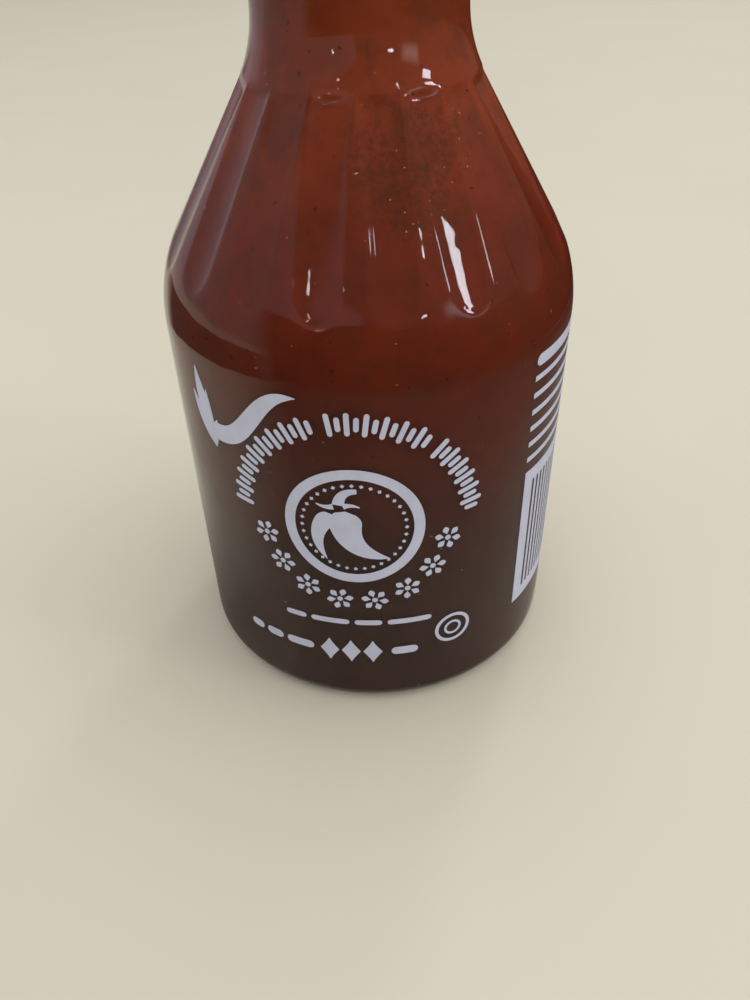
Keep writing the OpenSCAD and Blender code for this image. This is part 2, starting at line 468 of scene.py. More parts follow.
class Sheet:
    """A node tree that is being drawn."""

    def __init__(self, tree):
        self.tree = tree
        tree.nodes.clear()

    def add(self, kind, settings, inputs, output=0):
        """Adds a node: its settings first, then the values or wires of its sockets."""
        node = self.tree.nodes.new("ShaderNode" + kind)
        for name, value in settings.items():
            setattr(node, name, value)
        for name, value in inputs.items():
            if isinstance(value, Wire):
                self.tree.links.new(value.socket, node.inputs[name])
            else:
                node.inputs[name].default_value = value
        return Wire(self, node.outputs[output])

    def place(self):
        """Position on the piece, in metres."""
        return self.add("TexCoord", {}, {}, "Object")

    def parts(self, vector):
        """The x, y and z of a vector."""
        split = self.add("SeparateXYZ", {}, {0: vector}).socket.node
        return [Wire(self, socket) for socket in split.outputs]

    def noise(self, size, detail=3.0, roughness=0.5, vector=None):
        """Noise whose blotches are about a size across."""
        inputs = {
            "Vector": vector or self.place(),
            "Scale": 1 / size,
            "Detail": detail,
            "Roughness": roughness,
        }
        return self.add("TexNoise", {}, inputs, "Fac")

    def ragged(self, vector, size, reach):
        """The vector pushed about by noise, so that what is drawn with it gets uneven edges."""
        inputs = {"Vector": vector, "Scale": 1 / size, "Detail": 1.0}
        push = self.add("TexNoise", {}, inputs, "Color")
        centred = self.add("VectorMath", {"operation": "SUBTRACT"}, {0: push, 1: (0.5, 0.5, 0.5)})
        scaled = self.add("VectorMath", {"operation": "SCALE"}, {0: centred, "Scale": reach})
        return self.add("VectorMath", {"operation": "ADD"}, {0: vector, 1: scaled})

    def grains(self, vector, size):
        """Distance to the middle of the nearest grain, and a level of its own for each grain."""
        inputs = {"Vector": vector, "Scale": 1 / size}
        off = self.add("TexVoronoi", {}, inputs, "Distance")
        tint = self.add("TexVoronoi", {}, inputs, "Color")
        return off, self.add("SeparateColor", {}, {0: tint})

    def mix(self, factor, a, b, blend="MIX"):
        """Colour between a and b."""
        settings = {"data_type": "RGBA", "blend_type": blend, "clamp_factor": True}
        a, b = [value if isinstance(value, Wire) else (*value, 1) for value in (a, b)]
        return self.add("Mix", settings, {"Factor": factor, 6: a, 7: b}, 2)

    def bump(self, height, distance):
        return self.add("Bump", {}, {"Height": height, "Distance": distance, "Strength": 1.0})

    def finish(self, shader):
        self.add_output("OutputMaterial", shader)

    def add_output(self, kind, shader):
        node = self.tree.nodes.new("ShaderNode" + kind)
        self.tree.links.new(shader.socket, node.inputs[0])


def new_sheet(name):
    material = bpy.data.materials.new(name)
    material.use_nodes = True
    return material, Sheet(material.node_tree)


def clear_plastic(tints):
    """Clear glossy plastic with faint moulding waves, which lamps shine through on to the sauce."""
    material, sheet = new_sheet("wall_finish")
    waves = sheet.noise(9 * MM, detail=2)
    haze = sheet.noise(5 * MM, detail=4).over(0.5, 0.75)
    plastic = sheet.add(
        "BsdfPrincipled",
        {},
        {
            "Base Color": sheet.mix(haze, tuple(tints.wall), tuple(tints.haze)),
            "Roughness": 0.03 + 0.04 * haze,
            "IOR": 1.46,
            "Transmission Weight": 1.0,
            "Normal": sheet.bump(waves, 0.12 * MM),
        },
    )
    let_through = (0.93, 0.92, 0.92, 1)
    through = sheet.add("BsdfTransparent", {}, {"Color": let_through})
    shadow = sheet.add("LightPath", {}, {}, "Is Shadow Ray")
    sheet.finish(sheet.add("MixShader", {}, {0: shadow, 1: plastic, 2: through}))
    return material


def chilli_sauce(tints):
    """Thick sauce with painted shade that darkens it towards the foot and painted light that brightens
    it up the neck, with spice, chilli skin and seed in it.
    """
    material, sheet = new_sheet("sauce_finish")
    place = sheet.place()
    ragged = sheet.ragged(place, 0.5 * MM, 0.7 * MM)
    clouds = sheet.noise(5 * MM, detail=5, roughness=0.62)
    base = sauce_by_height(sheet, tints, place, clouds)
    base = sauce_with_clot(sheet, tints, base, place, ragged)
    for size, reach, share, tint in (
        (1.1 * MM, 0.24, 0.90, tints.chilli),
        (1.5 * MM, 0.13, 0.92, tints.seed),
    ):
        off, level = sheet.grains(ragged, size)
        bit = (1 - off.over(reach / 2, reach)) * level.over(share, share + 0.02)
        base = sheet.mix(bit * 0.75, base, tuple(tint))
    wet = sheet.add(
        "BsdfPrincipled",
        {},
        {
            "Base Color": base,
            "Roughness": 0.42 + 0.2 * clouds,
            "Specular IOR Level": 0.12,
            "Normal": sheet.bump(clouds, 0.06 * MM),
        },
    )
    sheet.finish(wet)
    return material


def sauce_by_height(sheet, tints, place, clouds):
    """The sauce's colour from its foot up to the neck, darkened by painted shade at the foot and
    brightened by painted light up the neck, with darker clouds and brown spice in it.
    """
    height = sheet.parts(place)[2]
    wander = 16 * MM
    drift = height + sheet.noise(14 * MM, detail=2) * wander - wander / 2
    # Painted shade below the shoulder and painted light up the neck, blended in by height.
    shoulder = drift.over(22 * MM, 62 * MM)
    neck = drift.over(66 * MM, 92 * MM)
    base = sheet.mix(shoulder, tuple(tints.sauce_low_painted_shade), tuple(tints.sauce_mid))
    base = sheet.mix(neck, base, tuple(tints.sauce_high_painted_glow))
    darker = sheet.mix(1.0, base, (0.55, 0.5, 0.5), "MULTIPLY")
    base = sheet.mix(clouds.over(0.35, 0.7) * 0.35, base, darker)
    brown = sheet.noise(8 * MM, detail=4, roughness=0.6).over(0.46, 0.66) * shoulder
    return sheet.mix(brown * 0.4, base, tuple(tints.spice))


def sauce_with_clot(sheet, tints, base, place, ragged):
    """The colour with a grainy clot of spice at the front of the shoulder, and tiny bubbles in it
    painted as bright glints.
    """
    middle_x = 4 * MM
    middle_z = 78 * MM
    x, y, z = sheet.parts(sheet.ragged(place, 5 * MM, 9 * MM))
    off = ((x - middle_x) ** 2 + (z - middle_z) ** 2) ** 0.5
    clot = (1 - off.over(3 * MM, 10 * MM)) * (0 - y).over(2 * MM, 8 * MM)
    grain = sheet.noise(0.9 * MM, detail=4, roughness=0.7).over(0.42, 0.62)
    base = sheet.mix(clot * grain * 0.6, base, tuple(tints.spice))
    # Painted glints: tiny pale specks in the clot for light caught by bubbles.
    off, level = sheet.grains(ragged, 0.9 * MM)
    bubble_glint = (1 - off.over(0.06, 0.15)) * level.over(0.74, 0.78)
    return sheet.mix(bubble_glint * clot.over(0.25, 0.6), base, tuple(tints.bubble_glint))


def white_print(tints):
    """Opaque white ink with a slightly uneven coat."""
    material, sheet = new_sheet("ink_finish")
    coat = sheet.noise(2.5 * MM, detail=4)
    pits = sheet.noise(0.18 * MM, detail=2)
    shade = tuple(0.86 * value for value in tints.ink)
    ink = sheet.add(
        "BsdfPrincipled",
        {},
        {
            "Base Color": sheet.mix(coat.over(0.35, 0.75) * 0.6, tuple(tints.ink), shade),
            "Roughness": 0.38 + 0.2 * coat,
            "Normal": sheet.bump(pits, 0.01 * MM),
        },
    )
    sheet.finish(ink)
    return material


def cap_plastic(tints):
    """Satin moulded plastic, a little rougher and duller where fingers rub it."""
    material, sheet = new_sheet("cap_finish")
    rub = sheet.noise(6 * MM, detail=4).over(0.4, 0.75)
    grain = sheet.noise(0.25 * MM, detail=3)
    dull = tuple(0.93 * value for value in tints.cap)
    plastic = sheet.add(
        "BsdfPrincipled",
        {},
        {
            "Base Color": sheet.mix(rub * 0.7, tuple(tints.cap), dull),
            "Roughness": 0.34 + 0.12 * rub + 0.06 * grain,
            "IOR": 1.49,
            "Subsurface Weight": 0.12,
            "Subsurface Radius": (2 * MM, 1.8 * MM, 1.5 * MM),
            "Subsurface Scale": 1.0,
            "Normal": sheet.bump(grain, 0.02 * MM),
        },
    )
    sheet.finish(plastic)
    return material


def floor_finish(tints):
    """Plain matt floor with a faint unevenness."""
    material, sheet = new_sheet("floor_finish")
    cloud = sheet.noise(60 * MM, detail=3)
    deep = tuple(0.95 * value for value in tints.floor)
    matt = sheet.add(
        "BsdfPrincipled",
        {},
        {
            "Base Color": sheet.mix(cloud, deep, tuple(tints.floor)),
            "Roughness": 0.55,
            "Specular IOR Level": 0.3,
        },
    )
    sheet.finish(matt)
    return material


FINISHES = {
    "clear_plastic": ("wall_finish", clear_plastic),
    "chilli_sauce": ("sauce_finish", chilli_sauce),
    "white_print": ("ink_finish", white_print),
    "cap_plastic": ("cap_finish", cap_plastic),
}


def finish_for(slot):
    """The finish of a slot, made the first time that a piece needs it."""
    name, make = FINISHES[slot]
    return bpy.data.materials.get(name) or make(bpy.context.scene.sauce_bottle_colours)


def settle(piece, slot, node=None):
    """Paints a piece, lets it ride on the bottle's one body and hides the CAD part that it replaces."""
    piece.data.materials.append(finish_for(slot))
    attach(piece, "root")
    if node:
        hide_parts(node)


# ---------------------------------------------------------------- print

class Ink:
    """Thin closed shapes of ink, drawn flat as (distance round the side, height) and wrapped on it."""

    def __init__(self, body_r, thickness, centre=(0.0, 0.0)):
        self.body_r = body_r
        self.thickness = thickness
        self.centre = np.array(centre)
        self.points = []
        self.faces = []

    def ribbon(self, left, right, closed=False):
        """A shape between two lines of as many points, filled by short steps from one to the other."""
        left = np.asarray(left, float) + self.centre
        right = np.asarray(right, float) + self.centre
        widest = np.linalg.norm(left - right, axis=1).max()
        step = 1.3 * MM
        across = max(1, math.ceil(widest / step))
        share = np.linspace(0, 1, across + 1)[None, :, None]
        flat = left[:, None] * (1 - share) + right[:, None] * share
        rows, columns = flat.shape[:2]
        base = len(self.points)
        for side in (1, -0.5):
            radius = self.body_r + side * self.thickness
            turn = flat[..., 0] / self.body_r
            place = np.stack([radius * np.sin(turn), -radius * np.cos(turn), flat[..., 1]], axis=2)
            self.points += place.reshape(-1, 3).tolist()
        back = rows * columns

        def at(i, j, side):
            return base + side * back + (i % rows) * columns + j

        last = rows if closed else rows - 1
        for i in range(last):
            for j in range(across):
                ring = [(i, j), (i, j + 1), (i + 1, j + 1), (i + 1, j)]
                self.faces.append([at(*p, 0) for p in ring])
                self.faces.append([at(*p, 1) for p in ring[::-1]])
            for j, (a, b) in ((0, (i + 1, i)), (across, (i, i + 1))):
                self.faces.append([at(b, j, 0), at(a, j, 0), at(a, j, 1), at(b, j, 1)])
        if not closed:
            for i, order in ((0, 1), (rows - 1, -1)):
                for j in range(across):
                    a, b = (j, j + 1)[::order]
                    self.faces.append([at(i, b, 0), at(i, a, 0), at(i, a, 1), at(i, b, 1)])

    def stroke(self, spine, widths, closed=False):
        """A line of changing width along a spine."""
        spine = np.asarray(spine, float)
        if closed:
            tangent = np.roll(spine, -1, axis=0) - np.roll(spine, 1, axis=0)
        else:
            tangent = np.gradient(spine, axis=0)
        tangent = tangent / np.linalg.norm(tangent, axis=1, keepdims=True)
        aside = np.stack([-tangent[:, 1], tangent[:, 0]], axis=1)
        half = np.broadcast_to(np.asarray(widths, float), len(spine))[:, None] / 2
        self.ribbon(spine + aside * half, spine - aside * half, closed)

    def ring(self, radius, width, centre=(0.0, 0.0), steps=96):
        """A round line."""
        turns = np.arange(steps) * TURN / steps
        circle = np.stack([np.sin(turns), np.cos(turns)], axis=1) * radius + centre
        self.stroke(circle, width, closed=True)

    def bar(self, start, end, width, rounded_ends=True, steps=12):
        """A straight line, with round ends unless told not to."""
        share = np.linspace(0, 1, steps)
        start, end = np.array(start, float), np.array(end, float)
        run = np.linalg.norm(end - start)
        widths = np.full(steps, width)
        if rounded_ends:
            share = (1 - np.cos(math.pi * share)) / 2
            from_end = np.minimum(share, 1 - share) * run
            rest = np.clip(1 - from_end / (width / 2), 0, 1)
            widths = width * np.sqrt(np.clip(1 - rest**2, 0.004, 1))
        self.stroke(start + (end - start) * share[:, None], widths)

    def lozenge(self, centre, tall, wide, lean=0.0, steps=7):
        """A four-cornered star shape with slightly hollow sides."""
        share = np.linspace(-1, 1, steps)
        widths = wide * np.clip((1 - np.abs(share)) ** 1.15, 0.015, 1)
        up = np.array([math.sin(lean), math.cos(lean)])
        spine = np.array(centre) + up * share[:, None] * tall / 2
        self.stroke(spine, widths)

    def piece(self, name):
        settle(add_piece(name, self.points, self.faces, math.radians(40)), "white_print")


def tapering(steps, head, power=1.4):
    """Widths of a pod from its rounded head to its pointed end, as shares of its full width."""
    share = np.linspace(0, 1, steps)
    body = (1 - share) ** (1 / power)
    front = np.sqrt(np.clip(1 - (1 - np.clip(share / head, 0, 1)) ** 2, 0, 1))
    return np.clip(body * front, 0.03, 1)


def clockwise(turn):
    """Direction on the print at an angle clockwise from straight up."""
    return np.array([math.sin(turn), math.cos(turn)])


def bent(start, end, sag, steps):
    """A curved spine from one point to another, bowed aside by sag."""
    start, end = np.array(start, float), np.array(end, float)
    share = np.linspace(0, 1, steps)[:, None]
    along = end - start
    aside = np.array([-along[1], along[0]]) / np.linalg.norm(along)
    return start + along * share + aside * sag * 4 * share * (1 - share)


def new_ink(size, turn_from_front, z):
    """Ink whose shapes are drawn round a point at an angle from the front and a height."""
    body_r = bpy.context.scene.sauce_bottle_sizes.body_r
    return Ink(body_r, size.ink, (body_r * turn_from_front, z))


def print_emblem(size):
    """A plain ring with two chilli pods across it."""
    ink = new_ink(size, size.emblem_turn, size.emblem_z)
    ring_w = 1.5 * MM
    ink.ring(size.ring_r - ring_w / 2, ring_w)
    bead_count = 36
    bead_w = 0.62 * MM
    bead_ring_r = size.ring_r - 2.5 * MM
    for i in range(bead_count):
        turn = TURN * i / bead_count
        ink.lozenge(bead_ring_r * clockwise(turn), bead_w, bead_w, turn)
    steps = 30
    big = bent((-1.0 * MM, 2.9 * MM), (4.6 * MM, -5.2 * MM), -2.3 * MM, steps)
    ink.stroke(big, 5.2 * MM * tapering(steps, 0.2))
    small = bent((-2.9 * MM, 2.3 * MM), (-3.9 * MM, -5.6 * MM), -1.6 * MM, steps)
    ink.stroke(small, 3.0 * MM * tapering(steps, 0.2))
    stalk = bent((-1.9 * MM, 3.9 * MM), (0.6 * MM, 6.2 * MM), 0.8 * MM, 10)
    ink.stroke(stalk, np.linspace(1.7, 0.7, 10) * MM)
    for start, end in (((-2.6, 3.6), (-4.9, 3.9)), ((-1.3, 3.7), (0.9, 3.6))):
        sepal = bent(np.array(start) * MM, np.array(end) * MM, 0.25 * MM, 8)
        ink.stroke(sepal, np.linspace(0.9, 0.15, 8) * MM)
    ink.piece("print_emblem")


def print_strokes(size):
    """A fan of short radial strokes over the emblem, long and short by turns, in three groups."""
    ink = new_ink(size, size.emblem_turn, size.emblem_z)
    stroke_w = 0.7 * MM
    for start, end, strokes in ((-86, -18, 18), (-9, 36, 12), (44, 86, 12)):
        for i in range(strokes):
            way = clockwise(math.radians(start + (end - start) * i / (strokes - 1)))
            half = size.band_w * (1 if i % 2 == 0 else 0.62) / 2
            ink.bar((size.band_r - half) * way, (size.band_r + half) * way, stroke_w)
    ink.piece("print_strokes")


def print_flowers(size):
    """An arc of eight small flowers under the emblem, each of six petals round a dot."""
    ink = new_ink(size, size.emblem_turn, size.emblem_z)
    petals = 6
    petal_foot = 0.62 * MM
    petal_h = 1.35 * MM
    petal_w = 0.95 * MM
    share = np.linspace(0, 1, 9)
    swell = np.clip(np.sin(math.pi * share**1.3), 0.05, 1)
    for turn in np.radians(np.linspace(104, 256, 8)):
        middle = size.flower_arc_r * clockwise(turn)
        ink.ring(0.22 * MM, 0.4 * MM, middle, 16)
        for k in range(petals):
            way = aim(turn + TURN * k / petals)
            spine = middle + way * (petal_foot + share[:, None] * petal_h)
            ink.stroke(spine, petal_w * swell)
    ink.piece("print_flowers")


def print_rules(size):
    """Two dashed rules under the flowers, with three stars and a double ring."""
    ink = new_ink(size, 0, 0)
    around = ink.body_r * math.pi / 180
    upper_z = 17.8 * MM
    lower_z = 11.6 * MM
    star_h = 4.6 * MM
    star_w = 2.9 * MM
    seal = (22.4 * around, 14.2 * MM)
    for start, end in ((-28, -21.5), (-20, -8.5), (-7, 1), (2.5, 15.5)):
        ink.bar((start * around, upper_z), (end * around, upper_z), 0.95 * MM)
    for start, end in ((-43, -38), (-36.5, -30.5), (-29, -20), (3.5, 11.5)):
        ink.bar((start * around, lower_z), (end * around, lower_z), 1.5 * MM)
    for middle in (-15, -8.5, -2):
        ink.lozenge((middle * around, lower_z), star_h, star_w)
    ink.ring(2.6 * MM, 0.55 * MM, seal, 48)
    ink.ring(1.2 * MM, 0.4 * MM, seal, 32)
    ink.piece("print_rules")


def print_leaf(size):
    """A sprig of leaves with a waving ribbon beside it, on the left of the front."""
    ink = new_ink(size, 0, 0)
    around = ink.body_r * math.pi / 180
    steps = 20
    share = np.linspace(0, 1, steps)
    swell = np.clip(np.sin(math.pi * share) ** 0.8, 0.05, 1)
    foot = np.array((-46.5 * around, 43.4 * MM))
    for aside, up, wide in ((-2.4, 11.4, 2.3), (-0.6, 8.6, 1.5), (-3.9, 7.4, 1.6), (1.0, 4.6, 1.3)):
        leaf = bent(foot, foot + np.array((aside, up)) * MM, 0.3 * MM, steps)
        ink.stroke(leaf, wide * MM * swell)
    x = (-45 + 26.5 * share) * around
    z = (46.2 + 8.6 * share - 1.3 * np.sin(TURN * share)) * MM
    widths = 2.7 * MM * np.clip(1 - share**3.5, 0.03, 1)
    ink.stroke(np.stack([x, z], axis=1), widths)
    ink.piece("print_leaf")


def print_panel(size):
    """Plain rules over an evenly barred panel, on the right of the front."""
    ink = new_ink(size, size.panel_turn, 0)
    row_w = 26 * MM
    row_pitch = 2.55 * MM
    first_row_z = 54.6 * MM
    for i, share in enumerate((0.66, 1, 0.92, 0.97, 0.85, 1, 0.62)):
        z = first_row_z - row_pitch * i
        width = (1.7 if i == 0 else 0.8) * MM
        ink.bar((0, z), (row_w * share, z), width, rounded_ends=i == 0, steps=24)
    low = 11.7 * MM
    high = 37.1 * MM
    edge = 2.2 * MM
    bars = 17
    pitch = (row_w - 2 * edge) / (bars + 0.5)
    for z in (low + edge / 2, high - edge / 2):
        ink.bar((0, z), (row_w, z), edge, False, 24)
    for x in (edge / 2, row_w - edge / 2):
        ink.bar((x, low + edge), (x, high - edge), edge, False, 2)
    for i in range(bars):
        x = edge + pitch * (i + 0.75)
        ink.bar((x, low + edge), (x, high - edge), pitch * 0.5, False, 2)
    ink.piece("print_panel")


# ---------------------------------------------------------------- pieces

def closure_ribs(turns, outline, ring_r, rib_r, number, low, high):
    """Depths, below zero where they stand out, of upright round ribs on a ring."""
    pitch = TURN / number
    aside = ((turns + pitch / 2) % pitch - pitch / 2) * ring_r
    beyond = np.clip(low - outline[:, 1:], 0, None) + np.clip(outline[:, 1:] - high, 0, None)
    swell = np.sqrt(np.clip(rib_r**2 - aside**2 - beyond**2, 0, None))
    near = 0.05 * MM
    on_ring = (np.abs(outline[:, :1] - ring_r) < near).astype(float)
    return -swell * on_ring


class SAUCEBOTTLE_OT_wall(bpy.types.Operator):
    """Build the clear wall, with its flutes, bead and finish"""

    bl_idname = "sauce_bottle.wall"
    bl_label = "Bottle Wall"

    def execute(self, context):
        size = context.scene.sauce_bottle_sizes
        columns = 20 * size.flute_count
        top = neck_top(size)
        rim = BOTTLE_HIGH.z
        neck_r = neck_radius(size, top)
        finish_r = neck_r - size.finish_step
        mouth_r = finish_r - size.finish_wall
        bead_r = neck_r + size.bead_reach
        bead_top = top + size.bead_h
        soft = 0.35 * MM
        wall = fluted_skin(size, 0, columns)
        finish = rounded(
            [
                (neck_r, top, 0),
                (bead_r, top, 1.6 * soft),
                (bead_r, bead_top, 1.6 * soft),
                (finish_r, bead_top, soft),
                (finish_r, rim, soft),
                (mouth_r, rim, soft),
                (mouth_r, bead_top, 0.8 * MM),
                (neck_r - size.wall, top, 0),
            ],
            0.5 * MM,
        )
        wall.add(divided(finish, 3 * MM)[1:-1])
        wall.add_reversed(fluted_skin(size, size.wall, columns))
        settle(wall.piece("bottle_wall"), "clear_plastic", "bottle")
        return {"FINISHED"}


class SAUCEBOTTLE_OT_sauce(bpy.types.Operator):
    """Build the sauce that fills the bottle up to its level"""

    bl_idname = "sauce_bottle.sauce"
    bl_label = "Sauce"

    def execute(self, context):
        size = context.scene.sauce_bottle_sizes
        inset = size.wall - size.sauce_reach
        sauce = fluted_skin(size, inset, 20 * size.flute_count)
        mouth_r = neck_radius(size, neck_top(size)) - size.finish_step - size.finish_wall
        edge_r = mouth_r + size.sauce_reach
        level = SAUCE_HIGH.z
        top = rounded(
            [
                (neck_radius(size, neck_top(size)) - inset, neck_top(size), 0),
                (edge_r, neck_top(size) + size.bead_h, 0.8 * MM),
                (edge_r, level, 0.4 * MM),
                (0, level, 0),
            ],
            0.5 * MM,
        )
        sauce.add(divided(top, 2.5 * MM)[1:])
        settle(sauce.piece("sauce_fill"), "chilli_sauce", "sauce")
        return {"FINISHED"}


class SAUCEBOTTLE_OT_cap(bpy.types.Operator):
    """Build the ribbed screw cap with its flared spout"""

    bl_idname = "sauce_bottle.cap"
    bl_label = "Screw Cap"

    def execute(self, context):
        size = context.scene.sauce_bottle_closure
        skirt_r = CAP_HIGH.x - size.rib_r
        bore_r = skirt_r - size.skirt_wall
        low = CAP_LOW.z
        spout_top = CAP_HIGH.z
        plate_low = BOTTLE_HIGH.z
        plate_top = plate_low + size.plate
        flare_top = plate_top + size.flare_h
        flare_foot = skirt_r - size.edge_r
        run = flare_foot - size.spout_r
        sweep_r = (run**2 + size.flare_h**2) / (2 * run)
        swing = math.asin(size.flare_h / sweep_r)
        flare = [
            np.array([size.spout_r + sweep_r, flare_top]) - sweep_r * aim(t)
            for t in np.linspace(swing, 0, 16)
        ]
        skirt = rounded(
            [
                (0, plate_low, 0),
                (bore_r, plate_low, size.soft_r),
                (bore_r, low, size.soft_r),
                (skirt_r, low, size.soft_r),
                (skirt_r, plate_top, size.edge_r),
                (flare_foot - 0.01 * MM, plate_top, 0),
            ],
            0.25 * MM,
        )
        spout = rounded(
            [
                (size.spout_r, flare_top, 0),
                (size.spout_r, spout_top, size.soft_r),
                (0, spout_top, 0),
            ],
            0.2 * MM,
        )
        outline = np.array(divided(skirt[:-1] + flare + spout[1:], 0.9 * MM))
        cap = Skin(12 * size.rib_count)
        rib_low = low + size.edge_r / 2
        rib_high = rib_low + plate_top - low - 2 * size.edge_r
        ribs = closure_ribs(
            cap.turns, outline, skirt_r, size.rib_r, size.rib_count,
            rib_low + size.rib_r, rib_high - size.rib_r,
        )
        cap.add(outline, outward(outline), ribs)
        settle(cap.piece("screw_cap"), "cap_plastic", "cap")
        return {"FINISHED"}


class SAUCEBOTTLE_OT_tip(bpy.types.Operator):
    """Build the nozzle tip with its ribbed twist collar"""

    bl_idname = "sauce_bottle.tip"
    bl_label = "Nozzle Tip"

    def execute(self, context):
        size = context.scene.sauce_bottle_closure
        collar_r = TIP_HIGH.x - size.collar_rib_r
        low = TIP_LOW.z
        collar_top = low + size.collar_h
        end_z = TIP_HIGH.z
        taper = rounded(
            [
                (0, low, 0),
                (collar_r, low, size.soft_r),
                (collar_r, collar_top, size.soft_r),
                (collar_r - size.tip_step, collar_top, size.soft_r),
                (size.tip_end_r, end_z, 0.96 * size.tip_end_r),
                (0, end_z, 0),
            ],
            0.2 * MM,
        )
        outline = np.array(divided(taper, 0.5 * MM))
        tip = Skin(14 * size.collar_rib_count)
        ribs = closure_ribs(
            tip.turns, outline, collar_r, size.collar_rib_r, size.collar_rib_count,
            low + 2 * size.collar_rib_r, collar_top - 2 * size.collar_rib_r,
        )
        tip.add(outline, outward(outline), ribs)
        settle(tip.piece("twist_tip"), "cap_plastic", "nozzle_tip")
        return {"FINISHED"}


class SAUCEBOTTLE_OT_print(bpy.types.Operator):
    """Build the white print on the front and the right of the body"""

    bl_idname = "sauce_bottle.print"
    bl_label = "White Print"

    def execute(self, context):
        size = context.scene.sauce_bottle_print
        print_emblem(size)
        print_strokes(size)
        print_flowers(size)
        print_rules(size)
        print_leaf(size)
        print_panel(size)
        return {"FINISHED"}


# ---------------------------------------------------------------- stage

SQUARE = ((-1, -1), (1, -1), (1, 1), (-1, 1))
SOFT_WHITE = (1, 0.985, 0.95)
WARM_WHITE = (1, 0.97, 0.93)
COOL_WHITE = (0.95, 0.97, 1)
SPOT_WHITE = (0.95, 0.95, 1)


def hang(holder, azimuth, elevation, distance):
    """Places a lamp or card at a direction from the bottle, in degrees from its front, facing it."""
    a, e = math.radians(azimuth), math.radians(elevation)
    away = Vector((math.sin(a) * math.cos(e), -math.cos(a) * math.cos(e), math.sin(e)))
    aim_z = bpy.context.scene.sauce_bottle_studio.aim_z
    holder.location = Vector((0, 0, aim_z)) + away * distance
    holder.rotation_euler = away.to_track_quat("Z", "Y").to_euler()


def lamp(name, azimuth, elevation, distance, wide, tall, radiance, tint, shape="RECTANGLE"):
    """A soft lamp that is as bright as its radiance, whatever its size."""
    light = bpy.data.lights.new(name, "AREA")
    light.shape = shape
    light.size = wide
    light.size_y = tall
    light.energy = radiance * math.pi * wide * tall
    light.color = tint
    holder = bpy.data.objects.new(name, light)
    hang(holder, azimuth, elevation, distance)
    bpy.context.scene.collection.objects.link(holder)
    return holder


def softbox(name, azimuth, elevation, distance, wide, tall, radiance, tint, fade):
    """A glowing card that fades out towards its edges."""
    corners = [(x * wide / 2, y * tall / 2, 0) for x, y in SQUARE]
    card = add_piece(name, corners, [(0, 1, 2, 3)])
    hang(card, azimuth, elevation, distance)
    material, sheet = new_sheet(name + "_finish")
    x, y, _ = sheet.parts(sheet.place())
    across = (wide / 2 - x.math("ABSOLUTE")).over(0, fade)
    up = (tall / 2 - y.math("ABSOLUTE")).over(0, fade)
    glow = sheet.add("Emission", {}, {0: (*tint, 1), 1: radiance})
    show_to_gloss(card, material, sheet, glow, across * up)


def flag(name, start, end, radius, high, density):
    """A black curved card that stands round the bottle and fades out at its ends. It paints shade into
    the bottle's gloss, for the shaded table round it.
    """
    card, material, sheet = curved_card(name, start, end, (radius, 0.0), (radius, high))
    density = density * ends_faded(sheet, start, end, fade=14)
    show_to_gloss(card, material, sheet, matt_black(sheet), density)


def shade_cloth(name, start, end, inner, outer, near, far):
    """Painted shade: a black gauze on the floor round the bottle, seen only in its gloss, for the
    floor's shadow near the foot. Its density goes from near to far.
    """
    lift = 0.2 * MM
    card, material, sheet = curved_card(name, start, end, (inner, lift), (outer, lift))
    x, y, _ = sheet.parts(sheet.place())
    radius = (x * x + y * y) ** 0.5
    density = near + (far - near) * radius.over(inner, outer)
    density = density * ends_faded(sheet, start, end, fade=40)
    show_to_gloss(card, material, sheet, matt_black(sheet), density)


def matt_black(sheet):
    """Shader of the cards and gauzes that keep light off the bottle's gloss, as painted shade."""
    return sheet.add("BsdfDiffuse", {}, {0: (*bpy.context.scene.sauce_bottle_colours.card, 1)})


def curved_card(name, start, end, low, high):
    """A band round the axis between two (radius, height) edges, with its material and sheet."""
    steps = 64
    turns = np.radians(np.linspace(start, end, steps))
    ring = np.stack([np.sin(turns), -np.cos(turns)], axis=1)
    points = [(*p * radius, z) for radius, z in (low, high) for p in ring]
    faces = [(i, i + 1, steps + i + 1, steps + i) for i in range(steps - 1)]
    return add_piece(name, points, faces), *new_sheet(name + "_finish")


def ends_faded(sheet, start, end, fade):
    """1 along a band round the axis, and a soft fall to 0 at each of its ends, in degrees."""
    middle = math.radians(start + end) / 2
    half = math.radians(end - start) / 2
    inputs = {0: sheet.place(), "Angle": -middle}
    x, y, _ = sheet.parts(sheet.add("VectorRotate", {"rotation_type": "Z_AXIS"}, inputs))
    aside = x.math("ARCTAN2", 0 - y).math("ABSOLUTE")
    return (half - aside).over(0, math.radians(fade))


def show_to_gloss(card, material, sheet, shader, density):
    """Gives a card a shader of a density, and hides it from all but glossy reflections."""
    clear = sheet.add("BsdfTransparent", {}, {})
    sheet.finish(sheet.add("MixShader", {}, {0: density, 1: clear, 2: shader}))
    card.data.materials.append(material)
    card.visible_camera = False
    card.visible_diffuse = False
    card.visible_transmission = False
    card.visible_shadow = False


